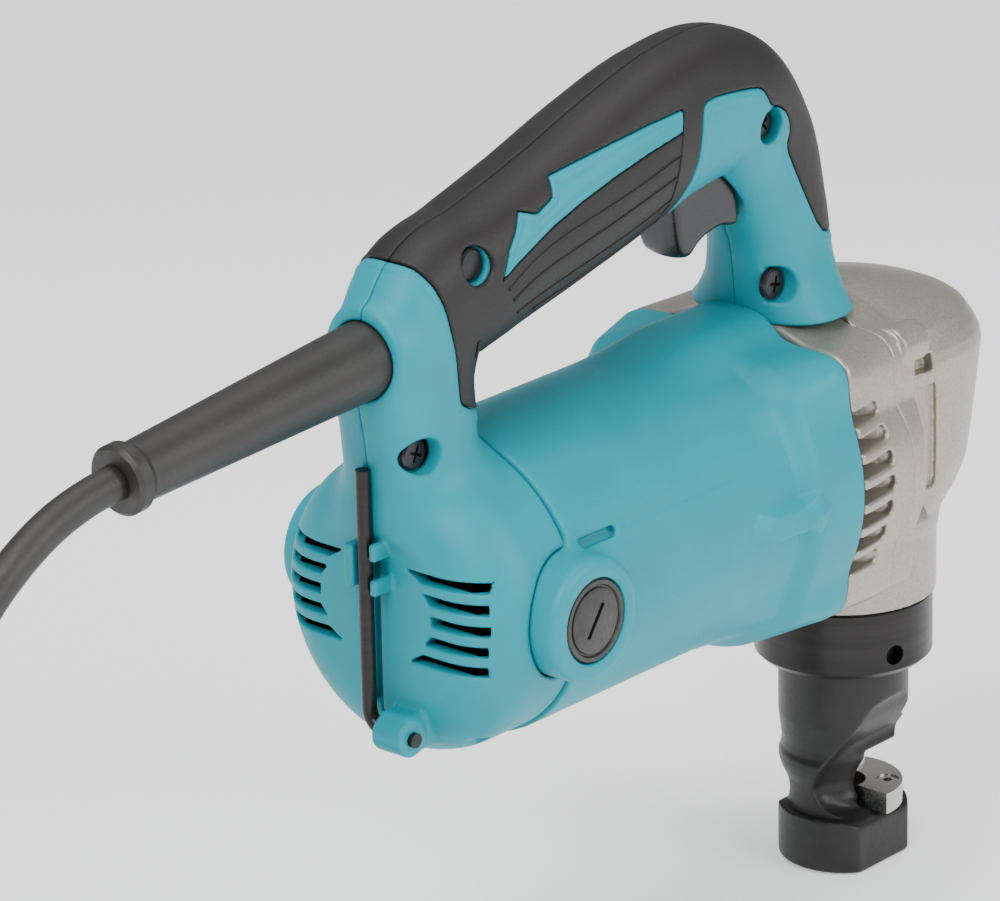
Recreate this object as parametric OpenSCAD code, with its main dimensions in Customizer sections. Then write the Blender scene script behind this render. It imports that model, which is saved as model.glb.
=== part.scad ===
// Electric nibbler: an upright punch nose under a gear head, a round motor
// housing behind it and a closed grip above. X points forward to the nose,
// Y to the left and Z up. The origin is the middle of the die holder's foot.

/* [Motor] */
// Height of the motor axis above the die holder's foot
motor_z = 125.7; // [124:0.1:128]
// Outer radius of the round motor housing
motor_r = 39.6; // [38.5:0.1:40.5]
// Wall of the plastic housings
wall = 2.8; // [2.2:0.1:3.2]
// Rear seam of the motor housing
motor_rear_x = -153.5; // [-155:0.5:-152]
// Front seam of the motor housing
motor_front_x = -45; // [-46:0.5:-44.5]
// Rear face of the rear cover
cover_rear_x = -183.5; // [-185:0.5:-183]
// Height of the brush caps
brush_z = 126.4; // [125:0.1:128]
// Distance of the brush caps from the rear seam, towards the back
brush_back = 1.5; // [0:0.5:2]

/* [Gear head] */
// Module of both gear pairs
gear_module = 0.8; // [0.8]
// Teeth of the motor pinion
pinion_teeth = 7; // [7]
// Teeth of the gear that the motor pinion drives
mid_teeth = 41; // [41]
// Teeth of the pinion beside it
mid_pinion_teeth = 10; // [10]
// Teeth of the gear on the crank
crank_teeth = 38; // [38]
// Half of the punch stroke
crank_throw = 3; // [2.5:0.1:3]
// Top of the gear housing
head_top_z = 168; // [167:0.5:169]
// Outer radius of the round neck
neck_r = 25; // [24.5:0.1:25.5]

/* [Nose] */
// Outer radius of the lock nut
nut_r = 24.1; // [23.8:0.1:24.6]
// Radius of the die holder
holder_r = 17.75; // [17.5:0.05:18]
// Distance between the die holder's two side flats
foot_flats = 28; // [27:0.5:29]
// direction of the spanner hole in the lock nut, seen from above
hook_angle = -107; // [-180:180]
// Height of the die holder's foot block
foot_h = 15; // [14.5:0.1:15.4]
// Top of the die
die_top_z = 20.9; // [20.5:0.1:21.2]
// Radius of the punch
punch_r = 5.9; // [5.5:0.1:6]
// Height of the punch's cutting edge at the top of its stroke
punch_edge_z = 25; // [24.5:0.1:25.5]

/* [Grip] */
// Thickness of the rubber skin
skin = 1.2; // [1:0.1:1.5]
// Radius of the lock button
lock_r = 4.4; // [4:0.1:5]

/* [Cord and key] */
// Diameter of the mains cord
cord_d = 9; // [8:0.5:10]
// Diameter of the hex key
key_d = 3.8; // [3:0.1:4]

/* [Hidden] */
$fn = 96;

clear = 0.05; // gap between fitted pieces of one body
play = 0.3; // gap between pieces of different bodies
gear_c = gear_module * (pinion_teeth + mid_teeth) / 2;
lay_z = motor_z + gear_c;
brush_x = motor_rear_x - brush_back;
seam = 0.1; // half of the gap where two housings meet
seat_z = 165.6; // top pad of the head, where the grip stands
nut_z = [59, 78];
sleeve_r = 16.4;
plunger_r = 13;
wrist_z = motor_z + crank_throw - 24;
handle_split = 0.05;
front_bearing_r = 12; // outer radius of the armature's front bearing
fork_x = 8.6; // half of the plunger fork's width

// ---------- helpers ----------

module along_x(x0, x1, r, y = 0, z = motor_z)
    translate([x0, y, z]) rotate([0, 90, 0]) cylinder(h = x1 - x0, r = r);

module along_y(y0, y1, r, x = 0, z = 0)
    translate([x, y0, z]) rotate([-90, 0, 0]) cylinder(h = y1 - y0, r = r);

module ring_x(x0, x1, ro, ri, y = 0, z = motor_z)
    difference() {
        along_x(x0, x1, ro, y, z);
        along_x(x0 - 1, x1 + 1, ri, y, z);
    }

// turns an outline of [x, radius] points round the motor axis
module turned_x(outline)
    translate([0, 0, motor_z]) rotate([0, 90, 0])
        rotate_extrude() polygon([for (p = outline) [p[1], p[0]]]);

module block(lo, hi) translate(lo) cube(hi - lo);

// side +1 keeps the left half, side -1 the right half
module half(side)
    intersection() {
        children();
        block([-220, side > 0 ? handle_split : -80, 40],
            [60, side > 0 ? 80 : -handle_split, 270]);
    }

module both_sides() {
    children();
    mirror([0, 1, 0]) children();
}

// leaves a left-hand shape on the left, or mirrors it to the right
module to_side(side) mirror([0, side > 0 ? 0 : 1, 0]) children();

// quarter of a circle from angle a0 to a1 about a centre, as outline points
function arc(c, r, a0, a1, n = 8) =
    [for (i = [0:n]) let (a = a0 + (a1 - a0) * i / n) c + r * [cos(a), sin(a)]];

// ball bearing along X: two rings with the balls in a groove between them
module ball_bearing(x0, width, ro, ri, z = motor_z) {
    mid = (ro + ri) / 2;
    ball = (ro - ri) * 0.3;
    ring_x(x0, x0 + width, ro, ro - (ro - ri) * 0.28, 0, z);
    ring_x(x0, x0 + width, ri + (ro - ri) * 0.28, ri, 0, z);
    for (a = [0:45:315])
        translate([x0 + width / 2, mid * sin(a), z + mid * cos(a)]) sphere(r = ball, $fn = 24);
}

// ---------- gears ----------

// flank point of an involute at parameter t, on base radius rb
function involute(rb, t) =
    let (a = t * 180 / PI) rb * [cos(a) + t * sin(a), sin(a) - t * cos(a)];
function turn(p, a) = [p[0] * cos(a) - p[1] * sin(a), p[0] * sin(a) + p[1] * cos(a)];

// one tooth: root, involute flank up to the tip, and the mirrored flank down
function tooth(teeth, m, tip, root, backlash) =
    let (rp = m * teeth / 2, rb = rp * cos(20), ra = rp + tip, rr = rp - root,
        t1 = sqrt(pow(ra / rb, 2) - 1), tp = tan(20),
        at_pitch = involute(rb, tp), half_a = 90 / teeth - backlash / rp * 90 / PI,
        shift = -atan2(at_pitch[1], at_pitch[0]) - half_a,
        flank = [for (i = [0:4]) turn(involute(rb, t1 * i / 4), shift)],
        foot = turn([min(rr, rb), 0], shift))
    concat([foot], flank, [for (i = [4:-1:0]) [flank[i][0], -flank[i][1]]], [[foot[0], -foot[1]]]);

function gear_outline(teeth, m, tip, root, backlash) =
    [for (k = [0:teeth - 1]) for (p = tooth(teeth, m, tip, root, backlash)) turn(p, 360 * k / teeth)];

// spur gear along X; phase turns it, and 0 puts a tooth at the bottom
module spur_gear(x0, width, teeth, z, phase, bore, tip, root = 1.05, backlash = 0.2)
    translate([x0, 0, z]) rotate([phase, 0, 0]) rotate([0, 90, 0]) difference() {
        linear_extrude(width)
            polygon(gear_outline(teeth, gear_module, tip * gear_module,
                root * gear_module, backlash * gear_module));
        if (bore > 0) translate([0, 0, -1]) cylinder(h = width + 2, r = bore);
    }

// ---------- lofted shells of the grip ----------

// stations along the grip, from the rear cover over the top to the head:
// [x, z, half thickness, half width, angle of the outward normal]
grip_route = [
    [-170.5, 156, 15.2, 14.6, 180], [-171.4, 172, 15.8, 14.8, 178], [-172.2, 187, 16.8, 15, 168],
    [-165.9, 200.6, 18.7, 15, 140], [-149.3, 206.3, 18.2, 16.4, 112], [-124.4, 212.9, 19, 17, 106],
    [-99.4, 219.9, 20, 17, 106], [-75.7, 225.8, 19.8, 16.6, 99], [-54.4, 226, 19.4, 16, 62],
    [-40, 210.9, 18.2, 14, 22], [-33, 192.5, 16, 13.8, 14], [-31.4, 177, 15.4, 15.4, 8],
    [-30.4, seat_z, 16.2, 24, 0]];
skin_route = [for (i = [3:9]) grip_route[i]];

// a point of a station's rounded section; angle 90 is outward, 0 sideways
function section_point(s, inset, a) =
    let (c = abs(cos(a)) < 0.0001 ? 0 : cos(a),
        across = (s[2] - inset) * sign(sin(a)) * pow(abs(sin(a)), 0.8),
        y = (s[3] - inset) * pow(abs(c), 0.8))
    [s[0] + across * cos(s[4]), y, s[1] + across * sin(s[4])];

// sector of a station from angle a0 up to 90, closed at a point that lies
// drop below the middle of the section
function sector(s, inset, a0, drop) = concat(
    [[s[0] - drop * cos(s[4]), 0, s[1] - drop * sin(s[4])]],
    [for (a = [a0:15:90]) section_point(s, inset, a)]);

// solid through closed rings that all have the same number of points
module loft(rings) {
    n = len(rings[0]);
    m = len(rings);
    polyhedron(points = [for (r = rings) for (p = r) p],
        faces = concat([[for (j = [0:n - 1]) j]],
            [for (i = [0:m - 2]) for (j = [0:n - 1]) let (k = (j + 1) % n)
                each [[i * n + j, (i + 1) * n + j, (i + 1) * n + k],
                    [i * n + j, (i + 1) * n + k, i * n + k]]],
            [[for (j = [n - 1:-1:0]) (m - 1) * n + j]]));
}

module grip_solid(inset)
    loft([for (s = grip_route) [for (i = [0:12]) section_point(s, inset, -90 + 15 * i)]]);
module skin_shell() difference() {
    loft([for (s = skin_route) sector(s, 0, -15, 0)]);
    loft([for (s = grip_route) sector(s, skin - 0.02, -45, 4)]);
}

// ---------- fasteners ----------

// pan head screw along -Y: head against the right half, shank to the left half
module handle_screw(x, z, y_head) {
    along_y(-y_head, -y_head + 2.4, 3.6, x, z);
    along_y(-y_head + 2.4, 10, 2, x, z);
}
handle_screw_places = [[-180.2, 168.9, 12.4], [-160.5, 212.2, 14.5],
    [-48.6, 220.7, 14.2], [-42.8, 176.2, 13.4]];
module screw_recess(s) {
    along_y(-30, -s[2] + 2.4, 4.2, s[0], s[1]);
    along_y(-30, 10.5, 2 + clear, s[0], s[1]);
}
housing_screw_places = [for (y = [-1, 1]) for (z = [103, 152]) [27 * y, z]];

// ---------- housings ----------

module brush_bosses(r, y0, y1)
    both_sides() along_y(y0, y1, r, brush_x, brush_z);

module motor_housing() color([0.18, 0.62, 0.68]) difference() {
    union() {
        turned_x([[motor_rear_x + seam, 36.8], [motor_rear_x + seam, motor_r],
            [-75, motor_r], [-63, 40.7], [-50, 40.7], [motor_front_x - seam, 39.4],
            [motor_front_x - seam, 36.8]]);
        brush_bosses(16, 31, 45.4);
        for (s = housing_screw_places)
            along_x(-64, motor_front_x - seam, 4, s[0], s[1]);
    }
    difference() {
        along_x(motor_rear_x, motor_front_x, 36.8);
        for (s = housing_screw_places) along_x(-64, -40, 4.01, s[0], s[1]);
    }
    brush_bosses(12 + clear, 39, 60);
    brush_bosses(8.6 + clear, 25, 60);
    for (s = housing_screw_places) along_x(-62, -40, 2 + clear, s[0], s[1]);
    both_sides() block([-150.3, 30, 141.8], [-136.3, 50, 144.2]);
}

// rear cover: a cup round the motor axis with a well rounded rear edge
cover_edge = 17.5;
module cover_solid(inset)
    turned_x(concat([[motor_rear_x - seam, 0], [motor_rear_x - seam, motor_r - 0.3 - inset]],
        arc([cover_rear_x + cover_edge, motor_r - 0.3 - cover_edge],
            cover_edge - inset, 90, 180, 8), [[cover_rear_x + inset, 0]]));

key_x = -188.2;
key_z = 98;
boss_z = 192.7;

module rear_vents(side) {
    lean = [0, 4, 5.6, 4.5, 0.6];
    for (i = [0:4])
        translate([-192, side * (24 + lean[i] / 2) - 8, 116 + 5.4 * i]) cube([20, 16, 2.4]);
}

module handle_half(side, $fn = 48) color([0.2, 0.64, 0.7]) half(side) difference() {
    union() {
        difference() {
            union() {
                cover_solid(0);
                to_side(side) grip_solid(skin);
                along_x(-187, -170, 13, 0, boss_z);
                key_boss();
            }
            translate([0.1, 0, 0]) cover_solid(wall);
            to_side(side) grip_solid(skin + wall);
        }
        for (s = handle_screw_places) along_y(-s[2] + 1, s[2] - 1, 4.8, s[0], s[1]);
        both_sides() block([-171, 4, 186], [-165, 12.4, boss_z + 5.5]);
        ring_x(-181, -168.5, 13.2, 11 + clear);
    }
    along_x(-188, -176.5, 9.8, 0, boss_z);
    along_x(-180, -160, 5.4, 0, boss_z);
    for (s = handle_screw_places) screw_recess(s);
    for (y = [-6.5, 6.5]) translate([-168, y, 185]) cylinder(h = 20, r = 1.6);
    block([-103, -8, 182], [-56, 8, 219]);
    block([-177, -7, 150], [-166, 7, 176]);
    brush_bosses(16 + play, 20, 60);
    rear_vents(side);
    along_y(-20, 20, key_d / 2 + 0.08, key_x, key_z);
    if (side > 0) {
        along_y(5, 30, lock_r + play, lock_x, lock_z);
        along_y(5, 11.5, lock_flange_r + play, lock_x, lock_z);
    }
}

// short tube for the hex key's foot, and two cheeks that hold its long arm
module key_boss() {
    along_y(-13.5, -5.3, 4.6, key_x, key_z);
    block([key_x, -13.5, key_z], [key_x + 12, -5.3, key_z + 4.6]);
    for (y = [-4.6, 2.4]) block([key_x - 2, y, 137], [key_x + 6, y + 1.8, 143]);
}
lock_x = -107;
lock_z = 212;
lock_flange_r = 5.2;

module handle_right() handle_half(-1);
module handle_left() handle_half(1);

module skin_half(side) color([0.23, 0.22, 0.22]) half(side) difference() {
    to_side(side) skin_shell();
    along_x(-190, -168, 13.6, 0, boss_z);
    for (s = handle_screw_places) along_y(-30, 30, 5.1, s[0], s[1]);
    if (side > 0) along_y(5, 30, lock_r + play, lock_x, lock_z);
}
module grip_skin_right() skin_half(-1);
module grip_skin_left() skin_half(1);

// plate along X with rounded corners in its section
module rounded_plate(x0, x1, y, z0, z1, r) {
    block([x0, -y + r, z0], [x1, y - r, z1]);
    block([x0, -y, z0 + r], [x1, y, z1 - r]);
    for (sy = [-1, 1]) for (z = [z0 + r, z1 - r]) along_x(x0, x1, r, sy * (y - r), z);
}

module gear_room(x0, x1, extra = 0) {
    along_x(x0, x1, 18.2 + extra);
    along_x(x0, x1, 18.2 + extra, 0, lay_z);
    block([x0, -18.2 - extra, motor_z], [x1, 18.2 + extra, lay_z]);
}

module bearing_box() color([0.68, 0.66, 0.63]) difference() {
    hull() {
        along_x(motor_front_x + seam, -43, 39.4, $fn = 48);
        rounded_plate(-24.6, -24 - seam, 36, 91, seat_z, 12, $fn = 24);
    }
    difference() {
        along_x(-46, -37, 34.5);
        along_x(-46, -37, 14.6);
        along_x(-43.5, -37, 8.6, 0, lay_z);
        for (s = housing_screw_places) along_x(-46, -37, 4.2, s[0], s[1]);
    }
    gear_room(-36, -20);
    along_x(-44, -30, front_bearing_r + clear);
    along_x(-46, -43, 7);
    along_x(-42.5, -30, 6.5 + clear, 0, lay_z);
    for (s = housing_screw_places) along_x(-46, -20, 2 + clear, s[0], s[1]);
    for (i = [-3:3]) both_sides()
        block([-42, 31, motor_z - 1.2 + 6.7 * i], [-28, 45, motor_z + 1.2 + 6.7 * i]);
    block([-60, -60, seat_z], [-20, 60, 180]);
    translate([0, 0, 70]) cylinder(h = 34, r = neck_r + play);
}

module gear_housing() color([0.68, 0.66, 0.63]) difference() {
    union() {
        hull() {
            rounded_plate(-24 + seam, -14, 28, 100, seat_z, 12, $fn = 24);
            translate([6, 0, 112]) cylinder(h = 44, r = 30, $fn = 48);
            translate([2, 0, 120]) cylinder(h = head_top_z - 120, r = 18, $fn = 48);
            translate([0, 0, 98]) cylinder(h = 4, r = neck_r - 1.3, $fn = 48);
        }
        rounded_plate(-24 + seam, -14, 35.5, 91, seat_z, 12);
        translate([0, 0, nut_z[1] + seam]) cylinder(h = 24, r = neck_r);
        translate([0, 0, 67]) cylinder(h = 20, r = 21);
    }
    gear_room(-25, -16.6);
    along_x(-17, -9, 12 + clear);
    along_x(-17, -10, 6.5 + clear, 0, lay_z);
    block([-9, -18, 98.1], [9, 18, 151]);
    along_x(8, 16.1, 11 + clear);
    along_x(16, 28, 8);
    translate([0, 0, 60]) cylinder(h = 38.2, r = sleeve_r + clear);
    for (s = housing_screw_places) {
        along_x(-30, 30, 2 + clear, s[0], s[1]);
        along_x(-16.4, 40, 4.2, s[0], s[1]);
    }
    block([-46, -24.2, seat_z], [-14.6, 24.2, 180]);
}

module housing_screws() color([0.15, 0.15, 0.15]) for (s = housing_screw_places) {
    along_x(-60, -16.4, 2, s[0], s[1]);
    difference() {
        along_x(-16.4, -12.8, 3.8, s[0], s[1]);
        along_x(-14.4, -12, 1.7, s[0], s[1], $fn = 6);
    }
}

module handle_screws() color([0.1, 0.1, 0.1]) for (s = handle_screw_places) difference() {
    handle_screw(s[0], s[1], s[2]);
    for (a = [0, 90]) translate([s[0], -s[2] + 0.4, s[1]]) rotate([0, a + 30, 0])
        cube([4.2, 2.4, 0.8], center = true);
}

// ---------- nose ----------

module lock_nut() color([0.12, 0.12, 0.13]) difference() {
    rotate_extrude() polygon([[holder_r + play, nut_z[0]], [nut_r - 1.6, nut_z[0]],
        [nut_r, nut_z[0] + 1.6], [nut_r, nut_z[1] - 0.8], [nut_r - 0.8, nut_z[1]],
        [21 + play, nut_z[1]], [21 + play, 62.2], [holder_r + play, 62.2]]);
    rotate([0, 0, hook_angle]) translate([19, 0, 65]) rotate([0, 90, 0]) cylinder(h = 8, r = 2.75);
}

module die_holder() color([0.13, 0.12, 0.12]) difference() {
    union() {
        translate([0, 0, 41]) cylinder(h = 21.5, r = holder_r);
        translate([0, 0, 62.5]) cylinder(h = 4.2, r = 20.6);
        translate([0, 0, 32]) cylinder(h = 9.1, r1 = 16.6, r2 = holder_r);
        intersection() {
            union() {
                block([-11, -foot_flats / 2, 0], [12, foot_flats / 2, foot_h]);
                block([-16.5, -7, 5], [-5.2, 7, 40]);
            }
            translate([0, 0, -1]) cylinder(h = 60, r = holder_r);
        }
    }
    translate([0, 0, -1]) cylinder(h = 80, r = punch_r + play);
    both_sides() translate([3, holder_r + 4, 38]) rotate([0, 90, 0])
        cylinder(h = 40, r = 9, center = true);
    for (y = [-9.6, 9.6]) translate([7.4, y, 4]) cylinder(h = 12, r = 1.6 + clear);
    translate([0, 0, 59]) cylinder(h = 8, r = plunger_r + 1);
}

module die() color([0.62, 0.6, 0.57]) difference() {
    intersection() {
        translate([0, 0, foot_h + 0.02]) cylinder(h = die_top_z - foot_h - 0.02, r = 16.2);
        block([-1.5, -20, 0], [20, 20, 30]);
    }
    translate([0, 0, 10]) cylinder(h = 20, r = punch_r + play);
    for (y = [-9.6, 9.6]) translate([7.4, y, 10]) cylinder(h = 20, r = 3.05);
}

module die_screws() color([0.35, 0.34, 0.33]) for (y = [-9.6, 9.6]) difference() {
    translate([7.4, y, 0]) {
        translate([0, 0, foot_h + 0.1]) cylinder(h = die_top_z - foot_h - 0.5, r = 3);
        translate([0, 0, 5]) cylinder(h = foot_h - 4, r = 1.6);
    }
    translate([7.4, y, die_top_z - 2.2]) cylinder(h = 3, r = 1.3, $fn = 6);
}

module punch() color([0.55, 0.5, 0.45]) {
    translate([0, 0, punch_edge_z]) cylinder(h = 41.2, r = punch_r);
    translate([0, 0, 66]) cylinder(h = 5, r = 8);
    intersection() {
        translate([0, 0, 14]) cylinder(h = 12, r = punch_r);
        block([-8, -8, 14], [-2.6, 8, 26]);
    }
}

module plunger() color([0.5, 0.5, 0.5]) difference() {
    union() {
        translate([0, 0, 67.2]) cylinder(h = 30, r = plunger_r);
        intersection() {
            translate([0, 0, 97]) cylinder(h = 15, r = plunger_r);
            block([-fork_x, -9, 96], [fork_x, 9, 112]);
        }
    }
    translate([0, 0, 60]) cylinder(h = 12, r = punch_r + play);
    block([0, -punch_r - play, 60], [20, punch_r + play, 68.2]);
    translate([0, 0, 65.6]) cylinder(h = 5.8, r = 8 + play);
    block([0, -8 - play, 65.6], [20, 8 + play, 71.4]);
    block([-6.3, -20, wrist_z - 8], [6.3, 20, 120]);
    along_x(-12, 12, 3.5 + clear, 0, wrist_z);
}

module plunger_sleeve() color([0.7, 0.5, 0.25]) translate([0, 0, 72]) difference() {
    cylinder(h = 26, r = sleeve_r);
    translate([0, 0, -1]) cylinder(h = 30, r = plunger_r + clear);
}

module wrist_pin() color([0.6, 0.6, 0.6]) along_x(-fork_x, fork_x, 3.5, 0, wrist_z);

module connecting_rod() color([0.45, 0.45, 0.46]) difference() {
    union() {
        along_x(-5.6, 5.6, 14.9, 0, motor_z + crank_throw);
        along_x(-5.6, 5.6, 7, 0, wrist_z);
        block([-5.6, -5, wrist_z], [5.6, 5, motor_z - 8]);
    }
    along_x(-8, 8, 12.4, 0, motor_z + crank_throw);
    along_x(-8, 8, 3.5 + clear, 0, wrist_z);
}

module crankshaft() color([0.6, 0.6, 0.6]) {
    along_x(-25.4, -9.1, 6);
    along_x(-9.1, -6.3, 8.4);
    along_x(-6.4, 6.4, 5, 0, motor_z + crank_throw);
    along_x(6.3, 8.2, 8.4);
    along_x(8.1, 17, 4);
}

module crank_gear() color([0.42, 0.42, 0.43])
    spur_gear(-25, 8, crank_teeth, motor_z, 180 / crank_teeth, 6, 0.6);
module crank_bearing_rear() color([0.75, 0.75, 0.75]) ball_bearing(-16, 6, 12, 6 + clear);
module crank_bearing_front() color([0.75, 0.75, 0.75]) ball_bearing(9, 7, 11, 4 + clear);

module layshaft() color([0.6, 0.6, 0.6]) {
    along_x(-42, -11, 3, 0, lay_z);
    along_x(-28.2, -26, 5, 0, lay_z);
    spur_gear(-26.1, 9, mid_pinion_teeth, lay_z, 0, 0, 0.85);
}
module mid_gear() color([0.42, 0.42, 0.43])
    spur_gear(-35, 6.6, mid_teeth, lay_z, 0, 3, 0.42);
module layshaft_bearings() color([0.75, 0.75, 0.75]) {
    ball_bearing(-42.3, 5, 6.5, 3 + clear, lay_z);
    ball_bearing(-15, 4.6, 6.5, 3 + clear, lay_z);
}

// ---------- motor ----------

module armature_shaft() color([0.6, 0.6, 0.6]) {
    along_x(-175.5, -35.4, 4);
    spur_gear(-35.5, 8, pinion_teeth, motor_z, 0, 0, 0.85);
}
module armature_core() color([0.5, 0.28, 0.15]) {
    difference() {
        ring_x(-137, -73, 22.5, 4 + clear);
        for (a = [0:30:330]) translate([-138, 0, motor_z]) rotate([a, 0, 0])
            translate([0, -0.8, 16]) cube([66, 1.6, 10]);
    }
    ring_x(-146, -137, 19.5, 4 + clear);
    ring_x(-73, -65, 19.5, 4 + clear);
}
module commutator() color([0.72, 0.42, 0.2]) difference() {
    union() {
        ring_x(-165, -147.5, 12.5, 4 + clear);
        ring_x(-147.6, -146.05, 14.5, 4 + clear);
    }
    for (a = [0:15:345]) translate([-166, 0, motor_z]) rotate([a, 0, 0])
        translate([0, -0.25, 11.6]) cube([18, 0.5, 3]);
}
module fan() color([0.2, 0.2, 0.2]) {
    ring_x(-64.5, -47, 7, 4 + clear);
    ring_x(-64.5, -62.5, 30, 6.9);
    for (a = [0:30:330]) translate([-63, 0, motor_z]) rotate([a, 0, 0])
        translate([0, -0.8, 16]) cube([13, 1.6, 13.6]);
}
module armature_bearing_rear() color([0.75, 0.75, 0.75])
    ball_bearing(-176, 7, 11, 4 + clear);
module armature_bearing_front() color([0.75, 0.75, 0.75])
    ball_bearing(-43, 7, front_bearing_r, 4 + clear);

module stator_core() color([0.4, 0.4, 0.42]) difference() {
    ring_x(-137, -73, 36.6, 23.2);
    for (up = [-25, 25]) translate([-105, 0, motor_z + up]) cube([70, 32, 12], center = true);
}
module field_coils() color([0.65, 0.35, 0.15]) for (up = [-1, 1]) difference() {
    translate([-105, 0, motor_z + up * 25.5]) cube([73, 30, 8], center = true);
    translate([-105, 0, motor_z + up * 25.5]) cube([64.2, 22, 20], center = true);
    along_x(-150, -60, 23.2);
}
module fan_baffle() color([0.85, 0.85, 0.82]) ring_x(-67.4, -66, 36.6, 25);

module brush_holders() color([0.75, 0.6, 0.3]) both_sides() difference() {
    along_y(15, 38.9, 8.6, brush_x, brush_z);
    translate([brush_x, 26, brush_z]) cube([6.6, 40, 8.6], center = true);
}
module carbon_brushes() color([0.15, 0.15, 0.15]) both_sides()
    translate([brush_x - 3, 12.9, brush_z - 4]) cube([6, 13, 8]);
module brush_springs() color([0.7, 0.7, 0.7]) both_sides()
    for (k = [0:5]) translate([brush_x, 26.4 + 2.2 * k, brush_z]) rotate([90, 0, 0])
        rotate_extrude() translate([2.6, 0]) circle(r = 0.35, $fn = 16);
module brush_caps() color([0.12, 0.12, 0.12]) both_sides() difference() {
    union() {
        along_y(39.1, 44.6, 12, brush_x, brush_z);
        along_y(44.5, 45.2, 8.7, brush_x, brush_z);
    }
    translate([brush_x, 45, brush_z]) rotate([0, 17, 0]) cube([1.6, 3, 8.4], center = true);
}

// ---------- switch, trigger and lock ----------

module switch() color([0.12, 0.12, 0.13]) {
    block([-110, -8.4, 219], [-82, 8.4, 229]);
    block([-84, -3, 214.4], [-76, 3, 219.1]);
}

// the trigger slides square to the underside of the grip
trigger_tilt = 12;
module trigger() color([0.11, 0.11, 0.12]) translate([-79, 0, 205]) rotate([0, -trigger_tilt, 0])
    translate([0, 7, 0]) rotate([90, 0, 0]) linear_extrude(14) difference() {
        polygon([[-18.5, -7], [-14, -10], [14, -17], [18.4, -12], [18.4, 3.2], [-18.5, 3.2]]);
        translate([2, -33.5]) circle(r = 22);
    }

module lock_button() color([0.11, 0.11, 0.12]) {
    along_y(10.5, 17.2, lock_r, lock_x, lock_z);
    along_y(9.3, 11.2, lock_flange_r, lock_x, lock_z);
}

// ---------- cord and key ----------

guard_tilt = 4.5;
guard_len = 85;
module cord_guard() color([0.2, 0.2, 0.19]) {
    difference() {
        union() {
            along_x(-186.9, -176.6, 9.7, 0, boss_z);
            translate([-186.8, 0, boss_z]) rotate([0, -90 - guard_tilt, 0])
                rotate_extrude() polygon([[0, 0], [9.7, 0], [9.5, 10], [7.5, guard_len - 6],
                    [8.8, guard_len - 4], [8.8, guard_len - 1], [7.8, guard_len],
                    [0, guard_len]]);
        }
        along_x(-188, -170, cord_d / 2, 0, boss_z);
    }
}
module cord_clamp() color([0.12, 0.12, 0.12]) difference() {
    block([-172, -9.5, boss_z + 5.6], [-164, 9.5, boss_z + 9]);
    for (y = [-6.5, 6.5]) translate([-168, y, boss_z]) cylinder(h = 20, r = 1.6);
}
module cord_clamp_screws() color([0.6, 0.6, 0.6]) for (y = [-6.5, 6.5])
    translate([-168, y, boss_z + 5.7]) {
        cylinder(h = 5, r = 1.5);
        translate([0, 0, 3.4]) cylinder(h = 2, r = 2.8);
    }

module hex_key() color([0.15, 0.15, 0.15]) {
    translate([key_x, 0, key_z + 5]) cylinder(h = 62, r = key_d / 2);
    translate([key_x, -5, key_z + 5]) rotate([90, 0, 90]) rotate_extrude(angle = -90)
        translate([5, 0]) circle(r = key_d / 2, $fn = 32);
    along_y(-15.4, -5, key_d / 2, key_x, key_z);
}

// route of the cord: from the guard, down to the floor and round to the coil
coil_c = [-252, 42];
coil_r = 49.5;
turn_pitch = cord_d;
cord_route = [[-271.7, 0, 186], [-282, 0, 184.6], [-293, 0, 181.5], [-304, 0, 176],
    [-315, 0, 168], [-325, 0, 157], [-333, 0, 144], [-338.5, 0, 129], [-341.5, 0, 113],
    [-342.5, 0, 96], [-341.5, -1, 79], [-338, -3, 62], [-331, -6.5, 46], [-321, -10.5, 32],
    [-309, -14, 20.5], [-297, -17.2, 12], [-286, -19.4, 6.8], [-275, -20.6, 4.6],
    [-263, -21, 4.5]];
tail_route = [[-238, -21, 13.5], [-229, -20.8, 13.5], [-214, -19.8, 13.2], [-199, -18.6, 12.5],
    [-184, -18, 12]];

function unit(v) = v / norm(v);
function route_dir(r, i) =
    unit(r[min(i + 1, len(r) - 1)] - r[max(i - 1, 0)]);
function route_ring(r, i, n = 10) =
    let (d = route_dir(r, i), u = unit(cross(d, [0.05, 1, 0.1])), v = cross(d, u))
    [for (k = [0:n - 1]) r[i] + cord_d / 2 * (cos(360 * k / n) * u + sin(360 * k / n) * v)];
module sweep(route) loft([for (i = [0:len(route) - 1]) route_ring(route, i)]);

module cord() color([0.15, 0.15, 0.15]) sweep(cord_route);
module cord_tail() color([0.15, 0.15, 0.15]) sweep(tail_route);
// two layers of turns as one ring, rounded at its four edges
module cord_coil() color([0.15, 0.15, 0.15]) translate([coil_c[0], coil_c[1], 0])
    rotate_extrude() translate([coil_r, turn_pitch]) {
        square([4 * turn_pitch, turn_pitch], center = true);
        square([3 * turn_pitch, 2 * turn_pitch], center = true);
        for (x = [-1.5, 1.5]) for (z = [-0.5, 0.5])
            translate([x * turn_pitch, z * turn_pitch]) circle(r = turn_pitch / 2);
    }
module cord_tie() color([0.1, 0.1, 0.1]) difference() {
    block([coil_c[0] - 4, coil_c[1] + coil_r - 19.5, 0],
        [coil_c[0] + 4, coil_c[1] + coil_r + 19.5, 19.4]);
    block([coil_c[0] - 5, coil_c[1] + coil_r - 18, 1],
        [coil_c[0] + 5, coil_c[1] + coil_r + 18, 18]);
}
plug_y = -18;
module plug() color([0.12, 0.12, 0.12]) {
    along_x(-184, -170, 6.5, plug_y, 12);
    translate([0, plug_y, 0]) rounded_plate(-172, -146, 17, 0, 24, 10);
}
module plug_pins() color([0.75, 0.7, 0.5]) for (y = [-9.5, 9.5])
    along_x(-146, -127, 2.4, plug_y + y, 12);

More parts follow.
